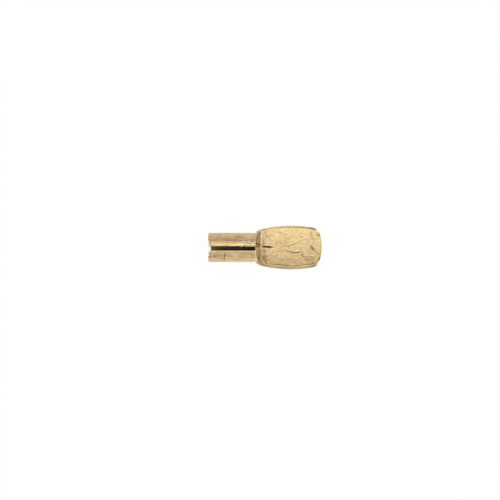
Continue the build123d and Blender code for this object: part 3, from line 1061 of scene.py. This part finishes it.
def brass_plate():
    material = bpy.data.materials.new("brass_plate")
    material.use_nodes = True
    tree = Tree(material.node_tree)
    place = tree.node("ShaderNodeTexCoord").outputs["Object"]
    xyz = tree.node("ShaderNodeSeparateXYZ", {0: place}).outputs
    texture = brass_textures(tree, place)
    on_paddle = tree.ramp(xyz["X"], 0.3 * MM, 1.8 * MM)
    hatch = tree.ramp(texture["hatch"], 0.60, 0.72)
    cross_hatch = tree.ramp(texture["cross_hatch"], 0.62, 0.74)
    scratches = tree.times(tree.math("MAXIMUM", hatch, cross_hatch), on_paddle)

    # colour: metal and its shade, then stains and the wall's painted shade, painted highlights, dirt with
    # painted shade, then the inner face's painted light and shade
    shade = brass_shade(tree, texture, xyz, on_paddle, scratches)
    colour = tree.mix(1.0, brass_metal(tree, texture, on_paddle), shade, "MULTIPLY")
    for name, strength in STAIN_AND_PAINTED_SHADE_STRENGTHS.items():
        colour = tree.mix(tree.times(tree.attribute(name), strength), colour, BRASS_COLOURS[name])
    grainy = tree.ramp(texture["grain"], 0.25, 0.7, 0.65, 1.1)
    dirt_and_shade_here = tree.times(tree.attribute("dirt"), grainy, True)
    inner_shade_here = tree.attribute("deep")
    inner_light_here = tree.attribute("bright")
    # painted highlights
    colour = tree.mix(tree.attribute("shine"), colour, BRASS_COLOURS["shine"])
    # dirt with painted shade
    colour = tree.mix(dirt_and_shade_here, colour, BRASS_COLOURS["dirt"])
    # painted light, then painted shade, on the inner face
    colour = tree.mix(inner_light_here, colour, BRASS_COLOURS["bright"])
    colour = tree.mix(inner_shade_here, colour, BRASS_COLOURS["deep"])

    # gloss, duller in dirt with its painted shade, and inside
    roughness = tree.ramp(texture["mottle"], 0.3, 0.7, 0.20, 0.31)
    roughness = tree.plus(roughness, tree.times(dirt_and_shade_here, 0.3))
    roughness = tree.plus(roughness, tree.times(inner_shade_here, 0.2))
    roughness = tree.plus(roughness, tree.times(inner_light_here, 0.1), True)

    # fine relief on the outer face alone
    relief = tree.plus(tree.times(texture["fine_streaks"], 0.5), tree.times(texture["grain"], 0.4))
    relief = tree.plus(relief, texture["mottle"])
    relief = tree.minus(relief, tree.times(scratches, 0.35))
    inside = tree.plus(inner_shade_here, inner_light_here, True)
    outside = tree.times(tree.minus(1.0, inside), RELIEF_STRENGTH)
    bump = tree.node("ShaderNodeBump", {"Strength": outside, "Distance": RELIEF * MM, "Height": relief})

    shader = material.node_tree.nodes["Principled BSDF"]
    shader.inputs["Metallic"].default_value = 1.0
    material.node_tree.links.new(colour, shader.inputs["Base Color"])
    material.node_tree.links.new(roughness, shader.inputs["Roughness"])
    material.node_tree.links.new(bump.outputs[0], shader.inputs["Normal"])
    return material


mesh.materials.append(brass_plate())


# Floor's finish: white where it is seen, straight or mirrored, with a faint shadow, and pale paper to all
# other light
PAPER_COLOUR = (0.94, 0.94, 0.94, 1)
WHITE = (1, 1, 1, 1)
WHITE_STRENGTH = 1.03
WHITE_SHARE = 0.9


def paper():
    material = bpy.data.materials.new("paper")
    material.use_nodes = True
    material.node_tree.nodes.clear()
    tree = Tree(material.node_tree)
    ray = tree.node("ShaderNodeLightPath").outputs
    mirrored = tree.plus(ray["Is Glossy Ray"], ray["Is Transmission Ray"])
    seen = tree.times(tree.plus(ray["Is Camera Ray"], mirrored, True), WHITE_SHARE)
    matt = tree.node("ShaderNodeBsdfDiffuse", {"Color": PAPER_COLOUR})
    white = tree.node("ShaderNodeEmission", {"Color": WHITE, "Strength": WHITE_STRENGTH})
    both = tree.node("ShaderNodeMixShader", {0: seen, 1: matt.outputs[0], 2: white.outputs[0]})
    tree.node("ShaderNodeOutputMaterial", {"Surface": both.outputs[0]})
    return material


# Floor, just under the pin
FLOOR_REACH = 1000.0
FLOOR_CLEARANCE = 0.01
floor_edge = FLOOR_REACH * MM
floor_z = (FLOOR - FLOOR_CLEARANCE) * MM
corner_signs = ((-1, -1), (1, -1), (1, 1), (-1, 1))
floor_corners = [(x * floor_edge, y * floor_edge, floor_z) for x, y in corner_signs]
floor_mesh = bpy.data.meshes.new("floor")
floor_mesh.from_pydata(floor_corners, [], [(0, 1, 2, 3)])
floor_mesh.materials.append(paper())
floor_obj = bpy.data.objects.new("floor", floor_mesh)
bpy.context.scene.collection.objects.link(floor_obj)


# Studio sky: nearly even, a little stronger from above and from -Y, and darker toward the diagonals
def studio():
    world = bpy.data.worlds.new("studio")
    world.use_nodes = True
    tree = Tree(world.node_tree)
    ray = tree.node("ShaderNodeTexCoord").outputs["Generated"]
    sky = tree.node("ShaderNodeSeparateXYZ", {0: ray}).outputs
    upward = tree.ramp(sky["Z"], 0.1, 1.0, 0.68, 0.72)
    strength = tree.plus(upward, tree.ramp(sky["Y"], -1.0, 1.0, 0.10, 0.0))
    aside = tree.math("ABSOLUTE", tree.times(sky["X"], sky["Y"]))
    strength = tree.times(strength, tree.ramp(aside, 0.08, 0.38, 1.0, 0.4))
    background = world.node_tree.nodes["Background"]
    background.inputs["Color"].default_value = WHITE
    world.node_tree.links.new(strength, background.inputs["Strength"])
    return world


bpy.context.scene.world = studio()

# Window: one large soft lamp above, toward +Y, aimed at the pin, in metres and watts
WINDOW_PLACE = (0.0, 0.17, 0.48)
WINDOW_SIZE = (0.55, 0.42)
WINDOW_POWER = 0.57
window_data = bpy.data.lights.new("window", "AREA")
window_data.shape = "RECTANGLE"
window_data.size, window_data.size_y = WINDOW_SIZE
window_data.energy = WINDOW_POWER
window = bpy.data.objects.new("window", window_data)
window.location = WINDOW_PLACE
window.rotation_euler = (-Vector(WINDOW_PLACE)).to_track_quat("-Z", "Y").to_euler()
bpy.context.scene.collection.objects.link(window)

# Camera straight above, the picture's top along +Y. It is set by how many pixels the shank is across,
# and by the pixel that shows the neck, which lies on the axis at NECK_AT.
IMAGE_PIXELS = 500
MIDDLE_PIXEL = 249.5
SHANK_PIXELS = 29.2
NECK_PIXEL_X = 255.5
NECK_PIXEL_Y = 246.93
NECK_AT = 0.353
LENS = 150.0
SENSOR = 36.0
CLIP_START = 10.0
CLIP_END = 5000.0
pixels_per_mm = SHANK_PIXELS / (2 * RADIUS)
camera_x = (MIDDLE_PIXEL - NECK_PIXEL_X) / pixels_per_mm + NECK_AT
camera_y = (NECK_PIXEL_Y - MIDDLE_PIXEL) / pixels_per_mm
camera_z = IMAGE_PIXELS / pixels_per_mm * LENS / SENSOR
camera_data = bpy.data.cameras.new("photo")
camera_data.lens = LENS
camera_data.sensor_width = SENSOR
camera_data.clip_start = CLIP_START * MM
camera_data.clip_end = CLIP_END * MM
camera = bpy.data.objects.new("photo", camera_data)
camera.location = (camera_x * MM, camera_y * MM, camera_z * MM)
bpy.context.scene.collection.objects.link(camera)
bpy.context.scene.camera = camera
bpy.context.scene.view_settings.view_transform = "Standard"
